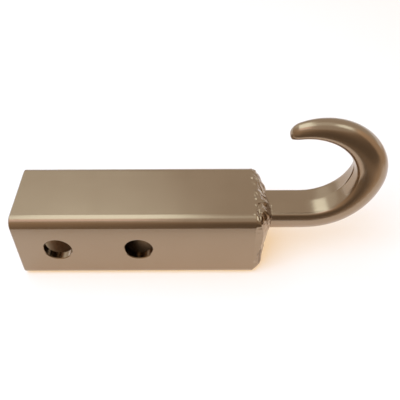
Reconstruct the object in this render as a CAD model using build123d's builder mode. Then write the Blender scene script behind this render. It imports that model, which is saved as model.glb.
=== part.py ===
import os
from math import pi

from build123d import *

# Recovery tow hook for a square towing receiver, in millimetres.
# The origin is on the underside of the square tube, below the axis of the front pin hole.
# +X runs along the tube towards the hook, +Z is up, and the pin holes run along Y.

# Square tube
tube_width = 50.8
tube_wall = 5.0
tube_corner_radius = 6.1
smallest_inner_radius = 0.5
tube_length = 149.2
tube_edge_break = 0.6

# Pin holes through both side walls of the tube
pin_hole_diameter = 17.5
pin_hole_spacing = 50.8
pin_hole_setback = 72.5
pin_hole_edge_break = 0.45

# Plate that closes the front of the tube, bevelled on all four edges for the weld
plate_thickness = 4.8
plate_inset = 2.8
plate_corner_radius = 5.0
plate_bevel_angle = 30.0

# Round bar of the hook: a straight shank, then three arcs that curl up and back over it
shank_diameter = 24.6
shank_length = 25.6
shank_raise = 10.5
bend_radius = 37.6
bend_angle = 76.0
crown_radius = 21.2
crown_angle = 33.5
limb_radius = 34.9
limb_angle = 97.0

# The bar swells a little in the bend, then tapers to a blunt tip
bend_diameter = 25.6
swell_length = 20.0
tip_diameter = 8.2
taper_power = 1.58
tip_rounding = 2.2
bar_section_count = 18

# Weld: a bead round the plate and a fillet round the shank, both with ripples from the weaving
weld_inset = 0.1
bead_width = 7.5
bead_height = 1.4
bead_roundness = 1.5
bead_profile_shares = (0, 0.15, 0.45, 0.8)
bead_ripple_diameter = 10.4
bead_ripple_pitch = 5.6
bead_ripple_offset = 0.2
fillet_leg = 7.0
fillet_bulge = 0.6
fillet_root = 0.3
fillet_ripple_diameter = 8.0
fillet_ripple_pitch = 5.8
fillet_ripple_inset = 1.6
top_ripple_count = 5
top_ripple_drop = 1.1
weld_slope_angle = 12.0

# Places that follow from the sizes above
axis_height = tube_width / 2
front_end = pin_hole_setback
open_end = front_end - tube_length
plate_face = front_end + plate_thickness
plate_width = tube_width - 2 * plate_inset
shank_radius = shank_diameter / 2
shank_height = axis_height + shank_raise
inner_width = tube_width - 2 * tube_wall
inner_corner_radius = max(tube_corner_radius - tube_wall, smallest_inner_radius)
weld_width = tube_width - 2 * weld_inset
match_tolerance = 0.01

os.makedirs("parts", exist_ok=True)


def bar_radius(distance, length):
    """Radius of the bar at a distance along its centreline, which is length long."""
    swell_end = shank_length + swell_length
    swell = min(max((distance - shank_length) / swell_length, 0), 1)
    taper = max((distance - swell_end) / (length - swell_end), 0)
    swollen = shank_diameter + (bend_diameter - shank_diameter) * swell * swell * (3 - 2 * swell)
    return (swollen - (bend_diameter - tip_diameter) * taper**taper_power) / 2


# Square tube, open at the rear, with two pin holes through its side walls
with BuildPart() as receiver_tube:
    with BuildSketch(Plane.YZ.offset(open_end)):
        with Locations((0, axis_height)):
            RectangleRounded(tube_width, tube_width, tube_corner_radius)
            RectangleRounded(inner_width, inner_width, inner_corner_radius, mode=Mode.SUBTRACT)
    extrude(amount=tube_length)
    chamfer(receiver_tube.faces().sort_by(Axis.X)[0].outer_wire().edges(), tube_edge_break)
    with BuildSketch(Plane.XZ):
        with Locations((0, axis_height), (-pin_hole_spacing, axis_height)):
            Circle(pin_hole_diameter / 2)
    extrude(amount=tube_width, both=True, mode=Mode.SUBTRACT)
    hole_edges = receiver_tube.edges().filter_by(GeomType.CIRCLE).filter_by(
        lambda edge: abs(edge.radius - pin_hole_diameter / 2) < match_tolerance
        and abs(abs(edge.center().Y) - tube_width / 2) < match_tolerance
    )
    chamfer(hole_edges, pin_hole_edge_break)

# End plate, set on the tube's front end and bevelled towards its outer face
with BuildPart() as end_plate:
    with BuildSketch(Plane.YZ.offset(front_end)):
        with Locations((0, axis_height)):
            RectangleRounded(plate_width, plate_width, plate_corner_radius)
    extrude(amount=plate_thickness, taper=plate_bevel_angle)

# Centreline of the bar in the upright middle plane, from the plate to the tip
with BuildLine(Plane.XZ) as centreline:
    shank_line = Line((plate_face, shank_height), (plate_face + shank_length, shank_height))
    bend_arc = JernArc(shank_line @ 1, shank_line % 1, bend_radius, bend_angle)
    crown_arc = JernArc(bend_arc @ 1, bend_arc % 1, crown_radius, crown_angle)
    limb_arc = JernArc(crown_arc @ 1, crown_arc % 1, limb_radius, limb_angle)
bar_path = centreline.wires()[0]
bar_length = bar_path.length

# Forged hook: round sections along the centreline, joined in one smooth skin
with BuildPart() as tow_hook:
    for step in range(bar_section_count + 1):
        share = step / bar_section_count
        with BuildSketch(Plane(bar_path @ share, x_dir=(0, 1, 0), z_dir=bar_path % share)):
            Circle(bar_radius(share * bar_length, bar_length))
    loft()
    tip_face = tow_hook.faces().filter_by(GeomType.PLANE).sort_by_distance(bar_path @ 1)[0]
    fillet(tip_face.edges(), tip_rounding)

# Middles of the ripples of the plate's bead, on a rounded square that keeps them inside the tube's faces
with BuildSketch(Plane.YZ.offset(front_end + bead_ripple_offset)) as ripple_square:
    with Locations((0, axis_height)):
        ripple_width = weld_width - bead_ripple_diameter
        RectangleRounded(ripple_width, ripple_width, tube_corner_radius - bead_ripple_diameter / 4)
ripple_line = ripple_square.sketch.face().outer_wire()
ripple_count = round(ripple_line.length / bead_ripple_pitch)

# Bead round the plate: it rounds over from the tube's outer faces to the plate's outer face
with BuildPart() as plate_bead:
    for share in bead_profile_shares:
        drop = share * bead_width
        rise = (plate_thickness + bead_height) * (1 - (1 - share) ** bead_roundness)
        with BuildSketch(Plane.YZ.offset(front_end + rise)):
            with Locations((0, axis_height)):
                bead_section = weld_width - 2 * drop
                RectangleRounded(bead_section, bead_section, tube_corner_radius - drop / 2)
    loft()
    with Locations(*[ripple_line @ (step / ripple_count) for step in range(ripple_count)]):
        Sphere(bead_ripple_diameter / 2)
    with BuildSketch(Plane.YZ.offset(plate_face)):
        with Locations((0, axis_height)):
            face_width = tube_width - 2 * bead_width
            RectangleRounded(face_width, face_width, plate_corner_radius)
    extrude(amount=plate_thickness, mode=Mode.SUBTRACT)

# Fillet round the shank, trimmed to the slope that runs on from the tube's faces
with BuildPart() as shank_fillet:
    with BuildSketch(Plane.XZ):
        with BuildLine():
            foot = (plate_face, shank_height + shank_radius + fillet_leg)
            toe = (plate_face + fillet_leg, shank_height + shank_radius - fillet_root)
            Polyline(
                (toe[0], toe[1]),
                (toe[0], shank_height),
                (plate_face - plate_thickness / 2, shank_height),
                (plate_face - plate_thickness / 2, foot[1]),
                foot,
            )
            SagittaArc(foot, toe, fillet_bulge)
        make_face()
    revolve(axis=Axis((plate_face, 0, shank_height), (1, 0, 0)))
    ripple_ring = shank_radius + fillet_ripple_inset
    with Locations(Plane((plate_face + fillet_ripple_inset, 0, shank_height), z_dir=(1, 0, 0))):
        with PolarLocations(ripple_ring, round(2 * pi * ripple_ring / fillet_ripple_pitch)):
            Sphere(fillet_ripple_diameter / 2)
    with BuildSketch(Plane.YZ.offset(front_end)):
        with Locations((0, axis_height)):
            RectangleRounded(weld_width, weld_width, tube_corner_radius)
    extrude(amount=2 * plate_thickness + fillet_leg, taper=weld_slope_angle, mode=Mode.INTERSECT)
    # A short row of ripples lies across the trimmed top, where the two deposits run together
    top_ripple_height = tube_width - top_ripple_drop - fillet_ripple_diameter / 2
    with Locations((plate_face - fillet_ripple_inset / 2, 0, top_ripple_height)):
        with GridLocations(fillet_ripple_pitch, fillet_ripple_pitch, 1, top_ripple_count):
            Sphere(fillet_ripple_diameter / 2)

# Weld metal: both deposits in one piece, cut back to the faces that they are laid on
with BuildPart() as weld_bead:
    add(plate_bead.part)
    add(shank_fillet.part)
    split(bisect_by=Plane.YZ.offset(front_end), keep=Keep.TOP)
    add(end_plate.part, mode=Mode.SUBTRACT)
    add(tow_hook.part, mode=Mode.SUBTRACT)

pieces = {
    "receiver_tube": receiver_tube,
    "end_plate": end_plate,
    "tow_hook": tow_hook,
    "weld_bead": weld_bead,
}
for name, piece in pieces.items():
    piece.part.label = name
    export_step(piece.part, f"parts/{name}.step")
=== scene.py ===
from math import cos, radians, sin

import bpy
import numpy as np
from mathutils import Matrix, Vector


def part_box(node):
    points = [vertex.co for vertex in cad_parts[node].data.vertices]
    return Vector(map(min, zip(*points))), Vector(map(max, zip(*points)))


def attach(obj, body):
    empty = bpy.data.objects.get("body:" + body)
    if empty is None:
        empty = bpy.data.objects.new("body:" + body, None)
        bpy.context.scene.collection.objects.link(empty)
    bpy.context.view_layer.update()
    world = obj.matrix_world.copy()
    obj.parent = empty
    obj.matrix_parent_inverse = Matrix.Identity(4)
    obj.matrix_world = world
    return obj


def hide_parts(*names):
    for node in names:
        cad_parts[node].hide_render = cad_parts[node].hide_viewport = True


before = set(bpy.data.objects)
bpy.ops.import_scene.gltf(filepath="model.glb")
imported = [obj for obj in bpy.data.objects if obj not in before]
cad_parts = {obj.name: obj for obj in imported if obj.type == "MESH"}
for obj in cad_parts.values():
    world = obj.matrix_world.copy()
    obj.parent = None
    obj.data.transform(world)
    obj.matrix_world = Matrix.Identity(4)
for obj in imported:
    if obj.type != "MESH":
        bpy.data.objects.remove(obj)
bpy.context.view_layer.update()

# Receiver tube: a drawn square steel tube, sawn off at its rear end and drilled through both sides
# for the hitch pin. Like the rest of the hook it is sprayed with a satin taupe metallic paint, over
# the faint lines that the drawing left along the tube.

MM = 0.001


class Field:
    """A value that varies over a surface. Sums and products with it add Math nodes."""

    def __init__(self, finish, socket):
        self.finish = finish
        self.socket = socket

    def maths(self, operation, first, second):
        return self.finish.add("ShaderNodeMath", {"operation": operation}, {0: first, 1: second})

    def __add__(self, other):
        return self.maths("ADD", self, other)

    def __radd__(self, other):
        return self.maths("ADD", other, self)

    def __sub__(self, other):
        return self.maths("SUBTRACT", self, other)

    def __rsub__(self, other):
        return self.maths("SUBTRACT", other, self)

    def __mul__(self, other):
        return self.maths("MULTIPLY", self, other)

    def __rmul__(self, other):
        return self.maths("MULTIPLY", other, self)

    def at_least(self, other):
        return self.maths("MAXIMUM", self, other)

    def at_most(self, other):
        return self.maths("MINIMUM", self, other)


class Finish:
    """The nodes of one finish, or of a light."""

    def __init__(self, tree):
        self.tree = tree
        tree.nodes.clear()

    def add(self, kind, settings=None, sockets=None, output=0):
        """Adds a node, with its settings first and its sockets after, and returns one of its outputs."""
        node = self.tree.nodes.new(kind)
        for name, value in (settings or {}).items():
            setattr(node, name, value)
        for name, value in (sockets or {}).items():
            if isinstance(value, Field):
                self.tree.links.new(value.socket, node.inputs[name])
            else:
                node.inputs[name].default_value = value
        return Field(self, node.outputs[output]) if node.outputs else None

    def stretched(self, place, scale):
        """The place on the surface, scaled by a factor along each axis."""
        return self.add("ShaderNodeMapping", {"vector_type": "POINT"}, {"Vector": place, "Scale": scale})

    def noise(self, place, per_metre, detail=2.0, roughness=0.5):
        """Smooth noise of about that many bumps a metre, from -0.5 to 0.5."""
        sockets = {"Vector": place, "Scale": per_metre, "Detail": detail, "Roughness": roughness}
        return self.add("ShaderNodeTexNoise", None, sockets) - 0.5

    def blend(self, share, first, second):
        """A mix of two colours."""
        return self.add("ShaderNodeMix", {"data_type": "RGBA"}, {0: share, 6: first, 7: second}, output=2)


paint_thin = (0.385, 0.28, 0.187, 1.0)
paint_thick = (0.315, 0.222, 0.142, 1.0)


def painted(name, unevenness, roughness=0.27):
    """The paint over a piece whose own surface has the given unevenness, a height in millimetres."""
    material = bpy.data.materials.new(name)
    material.use_nodes = True
    finish = Finish(material.node_tree)
    place = finish.add("ShaderNodeTexCoord", output="Object")
    cloud = finish.noise(place, 45, detail=3)
    grain = finish.noise(place, 2600, detail=1)
    peel = finish.noise(place, 750)
    colour = finish.blend(0.5 + cloud * 0.5 + grain * 0.5, paint_thick, paint_thin)
    height = peel * 0.004 + unevenness(finish, place)
    normal = finish.add("ShaderNodeBump", None, {"Strength": 1.0, "Distance": MM, "Height": height})
    shader = finish.add("ShaderNodeBsdfPrincipled", None, {
        "Base Color": colour,
        "Metallic": 1.0,
        "Roughness": roughness + cloud * 0.06 + grain * 0.05,
        "Coat Weight": 0.08,
        "Coat Roughness": 0.12,
        "Normal": normal,
    })
    finish.add("ShaderNodeOutputMaterial", None, {"Surface": shader})
    return material


def draw_lines(finish, place):
    """Fine lines along the tube and a slow waviness of its walls."""
    along = finish.stretched(place, (0.02, 1.0, 1.0))
    return finish.noise(along, 900, detail=3) * 0.003 + finish.noise(place, 30, detail=0) * 0.03


def dress(node, material):
    """Gives a node of the model its material."""
    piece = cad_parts[node]
    piece.data.materials.clear()
    piece.data.materials.append(material)


dress("receiver_tube", painted("paint_on_drawn_tube", draw_lines, roughness=0.235))

# End plate: a square of flame-cut plate that closes the tube and carries the hook. Only its outer
# face shows, below the shank and inside the weld. It is painted with the rest.


def mill_scale(finish, place):
    """Shallow pits of rolled plate."""
    return finish.noise(place, 420, detail=4, roughness=0.6) * 0.02


dress("end_plate", painted("paint_on_plate", mill_scale))

# Hook: a round steel bar, drop forged and bent hot, that tapers to a blunt tip. The die pressed its
# inner side into two nearly flat faces, with a rounded line between them and a low ridge of trimmed
# flash in the bend. The surface is smooth but not quite true, and it has the same paint.

bar_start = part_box("end_plate")[1][0]
shank_height = 35.9 * MM
shank_length = 25.6 * MM
shank_radius = 12.6 * MM
shank_offset = 0.4 * MM
bar_arcs = ((37.6 * MM, radians(76)), (21.2 * MM, radians(33.5)), (34.9 * MM, radians(98)))
bar_length = shank_length + sum(radius * turn for radius, turn in bar_arcs)
swell_length = 20 * MM
swell_gain = 0.2 * MM
tip_thinning = 8.78 * MM
taper_power = 1.58

# Height of the flats over the bar's middle line, as a share of its radius, and its gains on the way
shank_flat = 0.54
bend_flat_gain = 0.26
tip_flat_gain = 0.1
flat_gain_start = 48 * MM
flat_gain_length = 42 * MM
flat_slope = 0.115
middle_rounding = 1.0 * MM
corner_softness = 0.075

flash_height = 0.45 * MM
flash_half_width = 0.55 * MM
flash_middle = radians(82)
flash_spread = radians(28)
nose_length = 7.0 * MM
nose_fullness = 0.75
nose_drop = 0.62
ring_gathering = 0.3


def ease(share):
    """A share from 0 to 1 that starts and ends gently."""
    return share * share * (3 - 2 * share)


def hump(value, middle, width):
    """A smooth rise from 0 to 1 and back about a middle value."""
    return np.exp(-(((value - middle) / width) ** 2))


def bar_middle(distance):
    """Place and heading of the bar's middle line: straight along the shank, then three arcs in turn."""
    x = bar_start + np.minimum(distance, shank_length)
    z = np.full_like(distance, shank_height)
    heading = np.zeros_like(distance)
    start, first = shank_length, 0.0
    for radius, turn in bar_arcs:
        now = first + np.clip((distance - start) / radius, 0, turn)
        x = x + radius * (np.sin(now) - sin(first))
        z = z + radius * (cos(first) - np.cos(now))
        heading += now - first
        start, first = start + radius * turn, first + turn
    return x, z, heading


def bar_section(angle, radius, flat):
    """The bar's outline, across and inwards: a circle cut off at a given share of its radius by two
    flats that slope away from a rounded middle line, with its corners rounded by a soft minimum."""
    across = radius * np.cos(angle)
    soften = radius * corner_softness
    limit = flat * radius - flat_slope * (np.hypot(across, middle_rounding) - middle_rounding)
    return across, -soften * np.logaddexp(-radius * np.sin(angle) / soften, -limit / soften)


def bar_rings(along=230, around=200, nose_rings=16):
    """Rings along the bar. It swells a little in the bend, then thins by a power of the distance. The
    nose is half an oval whose rings lie nearer and nearer to the inner side. Along the middle of the
    bend's inner side, where the points of a ring lie closest, stands the ridge of the flash."""
    turn = np.linspace(0, radians(88), nose_rings)[1:]
    nose_start = bar_length - nose_length
    distance = np.concatenate([np.linspace(0, nose_start, along), nose_start + nose_length * np.sin(turn)])
    closing = np.concatenate([np.ones(along), np.cos(turn) ** nose_fullness])[:, None]
    swell_end = shank_length + swell_length
    swell = ease(np.clip((distance - shank_length) / swell_length, 0, 1))[:, None]
    taper = np.clip((distance - swell_end) / (bar_length - swell_end), 0, 1)[:, None]
    full = shank_radius + swell_gain * swell - tip_thinning * taper**taper_power
    bend_share = ease(np.clip((distance - flat_gain_start) / flat_gain_length, 0, 1))[:, None]
    flat = shank_flat + bend_flat_gain * bend_share + tip_flat_gain * taper
    even = np.linspace(0, 2 * np.pi, around, endpoint=False)[None, :]
    angle = even + ring_gathering * np.sin(2 * even)
    x, z, heading = (value[:, None] for value in bar_middle(distance))
    across, inward = bar_section(angle, full * closing, flat)
    ridge = flash_height * hump(across, 0, flash_half_width) * hump(heading, flash_middle, flash_spread)
    inward = inward + ridge * (inward > 0) + shank_offset * (1 - swell) + nose_drop * full * (1 - closing)
    return np.stack([x - inward * np.sin(heading), across + 0 * x, z + inward * np.cos(heading)], axis=-1)


def ring_mesh(name, rings, capped):
    """A mesh of rings of points, each closed on itself. It has two flat ends, or else the last ring
    joins the first. Each ring turns clockwise as seen along the way from ring to ring, and the faces
    then point outwards."""
    count, around = rings.shape[:2]
    ring, step = np.meshgrid(np.arange(count - 1 if capped else count), np.arange(around), indexing="ij")
    next_ring, next_step = (ring + 1) % count, (step + 1) % around
    corners = [ring * around + step, ring * around + next_step,
               next_ring * around + next_step, next_ring * around + step]
    faces = np.stack(corners, axis=-1).reshape(-1, 4).tolist()
    if capped:
        last = (count - 1) * around
        faces += [list(range(around - 1, -1, -1)), list(range(last, last + around))]
    mesh = bpy.data.meshes.new(name)
    mesh.from_pydata(rings.reshape(-1, 3), [], faces)
    mesh.polygons.foreach_set("use_smooth", np.ones(len(faces), bool))
    piece = bpy.data.objects.new(name, mesh)
    bpy.context.scene.collection.objects.link(piece)
    return piece


def forging(finish, place):
    """Broad shallow flats from the forging and a finer scale texture."""
    return finish.noise(place, 70, detail=1) * 0.05 + finish.noise(place, 500, detail=2) * 0.004


hook = ring_mesh("hook", bar_rings(), capped=True)
hook.data.materials.append(painted("paint_on_forged_bar", forging, roughness=0.23))
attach(hook, "root")
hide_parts("tow_hook")

# Weld: filler metal laid by hand, in one run round the edge of the end plate and another round the
# shank. The runs melt together at the top, where the shank almost reaches the tube's upper face. The
# paint lies over the ripples, drops and pits that the welding left.

tube_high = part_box("receiver_tube")[1]
weld_low, weld_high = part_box("weld_bead")
tube_corner = 6.1 * MM
front_end = tube_high[0]
plate_rise = bar_start - front_end
weld_half = (weld_high[1] - weld_low[1]) / 2
axis_height = (weld_high[2] + weld_low[2]) / 2
bead_width = 8.0 * MM
bead_roundness = 1.8
lap_length = 2.4 * MM
melting_width = 0.7 * MM
lump_spacing = 4.5 * MM
lump_height = 0.16 * MM
ripple_pitch = 2.6 * MM
ripple_height = 0.06 * MM
ripple_bow = 0.9
large_drops = 80
small_drops = 30
drop_height_share = 0.22
surface_loss = 0.2 * MM
side_clearance = 0.02 * MM
floor_clearance = 0.1 * MM

# Rows of points: over the tube, over the weld's face, and round in each row
lap_rows = 10
face_rows = 92
around_weld = 800
weld_angle = np.linspace(0, 2 * np.pi, around_weld, endpoint=False)[None, :]

# Ridges and pits that stand out in the photo. Each follows a line of points, which are given by angles
# in degrees, from the back over the top to the front, and by shares of the way from the tube to the
# shank. Then come its half width and its height in millimetres, and a pit's height is negative.
weld_marks = (
    # crest that runs down from the back of the tube's edge and ends above the shank
    ((46, 54, 62, 68, 72), (0.1, 0.3, 0.5, 0.66, 0.76), 0.75, 0.8),
    ((72, 80, 88), (0.55, 0.5, 0.4), 0.8, 0.3),
    # beads that stand on the tube's top edge
    ((42, 45), (-0.04, -0.03), 0.7, 0.3),
    ((94, 114), (-0.03, 0.0), 0.8, 0.45),
    # twin ridges over the front corner
    ((131, 150), (0.07, 0.075), 0.65, 0.55),
    ((133, 149), (0.155, 0.15), 0.55, 0.6),
    # pits beside the shank, the larger one at the front corner, and the lump below them
    ((117, 122), (0.34, 0.45), 1.4, -1.2),
    ((138, 148), (0.4, 0.62), 2.3, -1.0),
    ((166, 178), (0.62, 0.66), 2.0, 0.6),
    # pinholes down the front
    ((188, 188), (-0.03, -0.03), 0.7, -0.5),
    ((206, 206), (0.0, 0.01), 0.6, -0.5),
    ((222, 222), (0.1, 0.1), 0.7, -0.6),
)


def depth_in_square(y, z):
    """How far a point lies inside the rounded square of the weld's outer edge, negative outside it."""
    across = np.abs(y) - (weld_half - tube_corner)
    up = np.abs(z - axis_height) - (weld_half - tube_corner)
    outside = np.hypot(np.maximum(across, 0), np.maximum(up, 0))
    return tube_corner - outside - np.minimum(np.maximum(across, up), 0)


def edge_distance(angle):
    """Distance from the shank's axis to the weld's outer edge at each angle, found by halving a range."""
    near = np.zeros_like(angle)
    far = np.full_like(angle, 60 * MM)
    for _ in range(40):
        middle = (near + far) / 2
        inside = depth_in_square(middle * np.cos(angle), shank_height + middle * np.sin(angle)) > 0
        near = np.where(inside, middle, near)
        far = np.where(inside, far, middle)
    return near


def bar_distance(angle):
    """Distance from the shank's axis to the bar's outline at each angle."""
    across, inward = bar_section(np.linspace(0, 2 * np.pi, 721), shank_radius, shank_flat)
    inward = inward + shank_offset
    return np.interp(angle, np.arctan2(inward, across), np.hypot(across, inward), period=2 * np.pi)


def smooth_weld(outer, bar):
    """Rings of the weld before its unevenness, from its toe on the tube to its toe on the shank.

    The height over the tube's end is the higher of a rounded bead along the plate's edge and a fillet
    round the shank, run together smoothly and held under a steep slope from the tube's faces. The
    fillet is shorter on top, where it was welded face up, and the bead is fuller on the lower front.
    """
    toe_rise = (10.8 - 1.8 * hump(weld_angle, radians(46), radians(50))) * MM
    leg = (12.5 - 7.3 * hump(weld_angle, radians(82), radians(62))) * MM
    bead_rise = (5.9 + 1.3 * hump(weld_angle, radians(205), radians(22))) * MM
    steepness = 4.7 - 2.9 * hump(weld_angle, radians(36), radians(16))

    share = np.linspace(0, 1, face_rows)[:, None]
    radius = outer + (bar - outer) * (share - 0.06 * np.sin(2 * np.pi * share))
    inside = np.maximum(depth_in_square(radius * np.cos(weld_angle), shank_height + radius * np.sin(weld_angle)), 0)
    reach = np.clip(inside / bead_width, 0, 2)
    bead = bead_rise * (1 - np.maximum(1 - reach, 0) ** bead_roundness) - np.maximum(reach - 1, 0) ** 2 * 2 * MM
    fillet = plate_rise + (toe_rise - plate_rise) * (1 - (radius - bar) / leg)
    height = melting_width * np.logaddexp(bead / melting_width, fillet / melting_width)
    height = np.clip(np.minimum(height, inside * steepness), 0, toe_rise)

    lap = np.linspace(1, 0, lap_rows, endpoint=False)[:, None]
    radius = np.concatenate([outer + 0 * lap, radius, bar - 0.05 * MM + 0 * lap])
    height = np.concatenate([-lap_length * lap + 0 * weld_angle, height, height[-1:] + 1.6 * MM * (1 - lap + 0.1)])
    return np.stack([
        front_end + height,
        radius * np.cos(weld_angle),
        shank_height + radius * np.sin(weld_angle),
    ], axis=-1)


def wander(points, size, seed):
    """Smooth unevenness from about -1 to 1, a sum of waves of one length that run in many directions."""
    chance = np.random.default_rng(seed)
    ways = chance.normal(size=(24, 3))
    ways *= 2 * np.pi / size / np.linalg.norm(ways, axis=1, keepdims=True)
    starts = chance.uniform(0, 2 * np.pi, 24)
    return sum(np.sin(points @ way + start) for way, start in zip(ways, starts)) / 6


def drops(points, centres, radii):
    """Height of drops that lie on the surface, each a flattened ball, with the highest one showing."""
    height = np.zeros(points.shape[:2])
    for centre, radius in zip(centres, radii):
        away = ((points - centre) ** 2).sum(axis=-1) / radius**2
        height = np.maximum(height, drop_height_share * radius * np.sqrt(np.maximum(1 - away, 0)))
    return height


def nearest(points, line):
    """Distance from each point to the nearest point of a line that is given as points close together."""
    away = np.full(points.shape[:2], np.inf)
    for spot in line:
        away = np.minimum(away, ((points - spot) ** 2).sum(axis=-1))
    return np.sqrt(away)


def weld_relief(surface, along):
    """Height of the unevenness over the smooth weld: drops, slow lumps, and the bowed ripples that the
    weaving leaves across each run, which are weaker at the front and in the large pit, then the marks.
    All of it fades out towards both toes."""
    chance = np.random.default_rng(3)
    drop_count = large_drops + small_drops
    ring, step = chance.integers(0, len(surface), drop_count), chance.integers(0, around_weld, drop_count)
    sizes = np.concatenate([chance.uniform(2.0, 3.8, large_drops), chance.uniform(0.6, 1.1, small_drops)]) * MM
    relief = drops(surface, surface[ring, step], sizes)
    relief += wander(surface, lump_spacing, 1) * lump_height - surface_loss

    run = np.cumsum(np.linalg.norm(along, axis=-1).mean(axis=0)) / 2
    row = np.arange(len(surface))[:, None]
    bow = ((row / len(surface) - 0.5) * 2) ** 2
    relief += np.sin(2 * np.pi * (run[None, :] / ripple_pitch + bow * ripple_bow)) * ripple_height
    relief *= 1 - 0.8 * hump(weld_angle, radians(188), radians(38))
    relief *= 1 - 0.85 * hump(weld_angle, radians(143), radians(16)) * hump(row, 62, 24)

    for degrees, across_shares, half_width, lift in weld_marks:
        turns, shares = (np.interp(np.linspace(0, 1, 24), np.linspace(0, 1, len(ends)), ends)
                         for ends in (degrees, across_shares))
        line = surface[np.rint(lap_rows + shares * (face_rows - 1)).astype(int),
                       np.rint(turns / 360 * around_weld).astype(int)]
        relief += lift * MM * hump(nearest(surface, line), 0, half_width * MM)
    toes = np.minimum(row, len(surface) - 1 - row) / lap_rows
    return relief * np.clip(toes, 0, 1)


def weld_back(outer, bar):
    """Rings that close the weld where it lies on the bar, the plate's face and bevel, and the tube."""
    places = (
        (bar * 0.996, plate_rise * 0.999),
        (bar * 0.996, plate_rise),
        (outer - 4.3 * MM, plate_rise),
        (outer - 2.0 * MM, 0.0),
    )
    return [np.stack([
        np.full_like(weld_angle, front_end + rise),
        radius * np.cos(weld_angle),
        shank_height + radius * np.sin(weld_angle),
    ], axis=-1) for radius, rise in places]


def weld_rings():
    """The smooth weld, moved along its own normals by the relief, and the rings that close its back."""
    outer, bar = edge_distance(weld_angle), bar_distance(weld_angle)
    surface = smooth_weld(outer, bar)
    along = np.roll(surface, -1, axis=1) - np.roll(surface, 1, axis=1)
    normal = np.cross(np.gradient(surface, axis=0), along)
    normal /= np.linalg.norm(normal, axis=-1, keepdims=True) + 1e-12
    surface = surface + normal * weld_relief(surface, along)[..., None]
    side = tube_high[1] - side_clearance
    surface[..., 1] = np.clip(surface[..., 1], -side, side)
    surface[..., 2] = np.maximum(surface[..., 2], floor_clearance)
    return np.concatenate([surface, *weld_back(outer, bar)])


def weld_spatter(finish, place):
    """A fine unevenness of the cast metal under the paint."""
    return finish.noise(place, 600, detail=2) * 0.02


weld = ring_mesh("weld", weld_rings(), capped=False)
weld.data.materials.append(painted("paint_on_weld", weld_spatter, roughness=0.16))
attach(weld, "root")
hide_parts("weld_bead")

# Studio: a sheet of white paper in a pale room, under a large softbox to the left and smaller lamps
# over the front, the back and the right. The table past the paper and the side that the camera is on
# are dark, which gives the rounded edges their dark line.

white = (1.0, 1.0, 1.0, 1.0)
paper_colour = (0.2, 0.38, 0.58, 1.0)
paper_glow = (0.78, 0.48, 0.20, 1.0)
paper_glow_reach = 0.45
cloth_colour = (1.0, 0.8, 0.62, 1.0)
room_colour = (1.0, 0.95, 0.89, 1.0)
room_strength = 0.69
cool = (0.68, 0.89, 1.0)
pink = (1.0, 0.83, 0.95)
table_height = 0.4 * MM
paper_front = -0.067
screen_radius = 0.6
screen_height = 0.52
lamp_height = 0.62


def surface_grid(name, points):
    """A sheet of quads through a grid of points."""
    rows, columns = points.shape[:2]
    row, column = np.meshgrid(np.arange(rows - 1), np.arange(columns - 1), indexing="ij")
    first = row * columns + column
    faces = np.stack([first, first + 1, first + columns + 1, first + columns], axis=-1).reshape(-1, 4)
    mesh = bpy.data.meshes.new(name)
    mesh.from_pydata(points.reshape(-1, 3), [], faces)
    sheet = bpy.data.objects.new(name, mesh)
    bpy.context.scene.collection.objects.link(sheet)
    return sheet


def flat_sheet(name, low, high, height):
    """A level rectangle between two corners."""
    x, y = np.meshgrid([low[0], high[0]], [low[1], high[1]])
    return surface_grid(name, np.stack([x, y, np.full_like(x, height)], axis=-1))


def stage_material(name):
    """An empty material for the stage, and its nodes."""
    material = bpy.data.materials.new(name)
    material.use_nodes = True
    return material, Finish(material.node_tree)


def seen_rays(finish):
    """One for the rays that show the stage itself: from the camera, off gloss and through glass."""
    rays = [finish.add("ShaderNodeLightPath", output=f"Is {ray} Ray") for ray in ("Camera", "Glossy", "Transmission")]
    return rays[0].at_least(rays[1]).at_least(rays[2])


def only_reflected(sheet):
    """Keeps a sheet out of the picture and of the floor's light, so that only gloss shows it."""
    sheet.visible_camera = False
    sheet.visible_diffuse = False
    sheet.visible_shadow = False


# The lit colour and the glow add up to white, and leave a warm shadow. Farther off the glow is white.
floor = flat_sheet("floor", (-6.0, -6.0), (6.0, 6.0), 0.0)
paper, finish = stage_material("paper")
lit = finish.add("ShaderNodeBsdfDiffuse", None, {"Color": paper_colour})
place = finish.add("ShaderNodeNewGeometry", output="Position")
away = finish.add("ShaderNodeVectorMath", {"operation": "LENGTH"}, {0: place}, output="Value")
tint = finish.blend((away - paper_glow_reach).at_least(0).at_most(1), paper_glow, white)
lift = finish.add("ShaderNodeEmission", None, {"Color": tint, "Strength": seen_rays(finish)})
finish.add("ShaderNodeOutputMaterial", None, {"Surface": finish.add("ShaderNodeAddShader", None, {0: lit, 1: lift})})
floor.data.materials.append(paper)

# The dark cloth is lighter to the left, higher up, and on the table in front of the bend
dark, finish = stage_material("dark_cloth")
place = finish.add("ShaderNodeNewGeometry", output="Position")
x, y, z = (finish.add("ShaderNodeSeparateXYZ", None, {"Vector": place}, output=axis) for axis in "XYZ")
glow = (0.3 - x * 0.85).at_least(0.2).at_most(0.5) + z * z * 1.1
glow += ((x - 0.11).at_least(0) * (y + 0.17).at_least(0) * 75).at_most(0.5)
cloth = finish.add("ShaderNodeEmission", None, {"Color": cloth_colour, "Strength": glow})
finish.add("ShaderNodeOutputMaterial", None, {"Surface": cloth})

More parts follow.
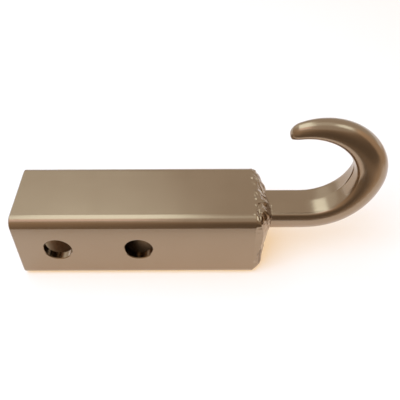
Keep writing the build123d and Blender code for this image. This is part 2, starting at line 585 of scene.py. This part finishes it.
front_table = flat_sheet("front_table", (-3.0, -3.0), (3.0, paper_front), table_height)
side_table = flat_sheet("side_table", (0.36, -0.103), (3.0, 0.25), table_height)
turn = np.radians(np.linspace(-105, 105, 43))[None, :]
level_up = np.linspace(0, screen_height, 12)[:, None]
screen = surface_grid("dark_screen", np.stack(np.broadcast_arrays(
    screen_radius * np.sin(turn) + 0.05, -screen_radius * np.cos(turn), level_up), axis=-1))
for sheet in (front_table, side_table, screen):
    sheet.data.materials.append(dark)
    only_reflected(sheet)


def softbox(name, place, target, size, radiance, colour):
    """A rectangular lamp that is turned to a point and glows evenly with the given strength."""
    light = bpy.data.lights.new(name, "AREA")
    light.shape = "RECTANGLE"
    light.size, light.size_y = size
    light.energy = radiance * np.pi * size[0] * size[1]
    light.color = colour
    lamp = bpy.data.objects.new(name, light)
    lamp.location = place
    lamp.rotation_euler = (Vector(target) - Vector(place)).to_track_quat("-Z", "Y").to_euler()
    bpy.context.scene.collection.objects.link(lamp)
    return lamp


softbox("overhead_softbox", (-0.145, 0.16, lamp_height), (-0.145, 0.16, 0.0), (0.33, 0.57), 2.1, cool)
softbox("overhead_fill", (0.17, 0.04, lamp_height), (0.17, 0.04, 0.0), (0.30, 0.32), 0.35, cool)
softbox("front_softbox", (-0.22, -0.28, lamp_height), (-0.22, -0.28, 0.0), (0.36, 0.34), 0.85, pink)
softbox("back_left_panel", (-0.7, 1.1, 0.9), (0.0, 0.0, 0.05), (1.2, 0.9), 0.36, cool)
softbox("right_softbox", (0.46, -0.02, 0.60), (0.12, 0.0, 0.07), (0.24, 0.24), 1.9, cool)

# The lamp that throws the shadow on the paper doesn't show in the gloss
paper_light = softbox("paper_light", (-0.6, -0.6, 1.4), (0.05, 0.0, 0.0), (1.2, 1.2), 5.2, white[:3])
paper_light.visible_glossy = False

world = bpy.data.worlds.new("room")
world.use_nodes = True
finish = Finish(world.node_tree)
ray = finish.add("ShaderNodeLightPath", output="Is Camera Ray")
tint = finish.blend(ray, room_colour, white)
strength = room_strength + ray * (1 - room_strength)
background = finish.add("ShaderNodeBackground", None, {"Color": tint, "Strength": strength})
finish.add("ShaderNodeOutputWorld", None, {"Surface": background})
bpy.context.scene.world = world

# Camera: in front of the tube and above it, looking down at about 45 degrees.

camera_place = Vector((39.9 * MM, -245.9 * MM, 291.8 * MM))
camera_yaw = radians(-0.3)
camera_pitch = radians(45.26)
camera_roll = radians(-0.45)
focal_length = 49.45
forward = Vector((sin(camera_yaw) * cos(camera_pitch), cos(camera_yaw) * cos(camera_pitch), -sin(camera_pitch)))
level = Vector((cos(camera_yaw), -sin(camera_yaw), 0))
upright = level.cross(forward)
right = level * cos(camera_roll) + upright * sin(camera_roll)
up = upright * cos(camera_roll) - level * sin(camera_roll)
camera = bpy.data.cameras.new("camera")
camera.sensor_width = 36
camera.lens = focal_length
view = bpy.data.objects.new("camera", camera)
view.matrix_world = Matrix.Translation(camera_place) @ Matrix((right, up, -forward)).transposed().to_4x4()
bpy.context.scene.collection.objects.link(view)
bpy.context.scene.camera = view
bpy.context.scene.view_settings.view_transform = "Standard"
